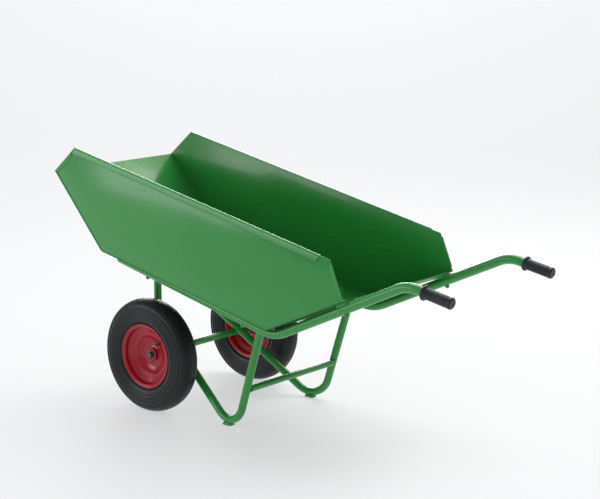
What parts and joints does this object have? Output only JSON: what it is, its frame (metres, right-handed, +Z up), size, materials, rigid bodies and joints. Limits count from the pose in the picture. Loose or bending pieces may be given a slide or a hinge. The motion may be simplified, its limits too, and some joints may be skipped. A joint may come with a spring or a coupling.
{
  "type": "two-wheeled wheelbarrow",
  "caption": "Two-wheeled wheelbarrow with a wide folded sheet tub on a bent tube frame, side handles and two V-shaped legs.",
  "frame": {"origin": "on the ground under the centre of the barrow's overall length and width", "axes": "+X from the nose towards the handles, +Y to the barrow's right-hand side (walker's right), +Z up"},
  "size_m": [1.729, 0.6132, 0.8984],
  "materials": {
    "green_paint": "satin gloss enamel",
    "red_paint": "gloss enamel",
    "tyre_rubber": "moulded rubber",
    "soft_rubber": "matt",
    "dark_plastic": "moulded",
    "zinc_steel": "zinc plated"
  },
  "bodies": {
    "barrow": {"tub_pan": "green_paint", "axle_bar": "green_paint", "front_cross_bar": "green_paint", "leg_brace": "green_paint", "side_plate_left": "green_paint", "rail_left": "green_paint", "leg_left": "green_paint", "saddle_front_left": "green_paint", "saddle_middle_left": "green_paint", "saddle_rear_left": "green_paint", "side_plate_right": "green_paint", "rail_right": "green_paint", "leg_right": "green_paint", "saddle_front_right": "green_paint", "saddle_middle_right": "green_paint", "saddle_rear_right": "green_paint", "grip_left": "dark_plastic", "rail_plug_left": "dark_plastic", "foot_pad_left": "green_paint", "grip_right": "dark_plastic", "rail_plug_right": "dark_plastic", "foot_pad_right": "green_paint", "bolt_front_left": "green_paint", "bolt_middle_left": "green_paint", "bolt_rear_left": "green_paint", "nut_front_left": "green_paint", "nut_middle_left": "green_paint", "nut_rear_left": "green_paint", "washer_left": "zinc_steel", "split_pin_left": "zinc_steel", "bolt_front_right": "green_paint", "bolt_middle_right": "green_paint", "bolt_rear_right": "green_paint", "nut_front_right": "green_paint", "nut_middle_right": "green_paint", "nut_rear_right": "green_paint", "washer_right": "zinc_steel", "split_pin_right": "zinc_steel"},
    "wheel_left": {"tyre_left": "tyre_rubber", "inner_tube_left": "soft_rubber", "rim_left": "red_paint", "hub_left": "red_paint", "bearing_inner_left": "zinc_steel", "bearing_outer_left": "zinc_steel", "valve_stem_left": "soft_rubber", "valve_cap_left": "dark_plastic"},
    "wheel_right": {"tyre_right": "tyre_rubber", "inner_tube_right": "soft_rubber", "rim_right": "red_paint", "hub_right": "red_paint", "bearing_inner_right": "zinc_steel", "bearing_outer_right": "zinc_steel", "valve_stem_right": "soft_rubber", "valve_cap_right": "dark_plastic"}
  },
  "joints": [
    {"name": "wheel_left_spin", "type": "hinge", "parent": "barrow", "child": "wheel_left", "pos_m": [-0.41447, -0.2636, 0.2], "axis": [0, 1, 0], "continuous": true},
    {"name": "wheel_right_spin", "type": "hinge", "parent": "barrow", "child": "wheel_right", "pos_m": [-0.41447, 0.2636, 0.2], "axis": [0, 1, 0], "continuous": true}
  ]
}
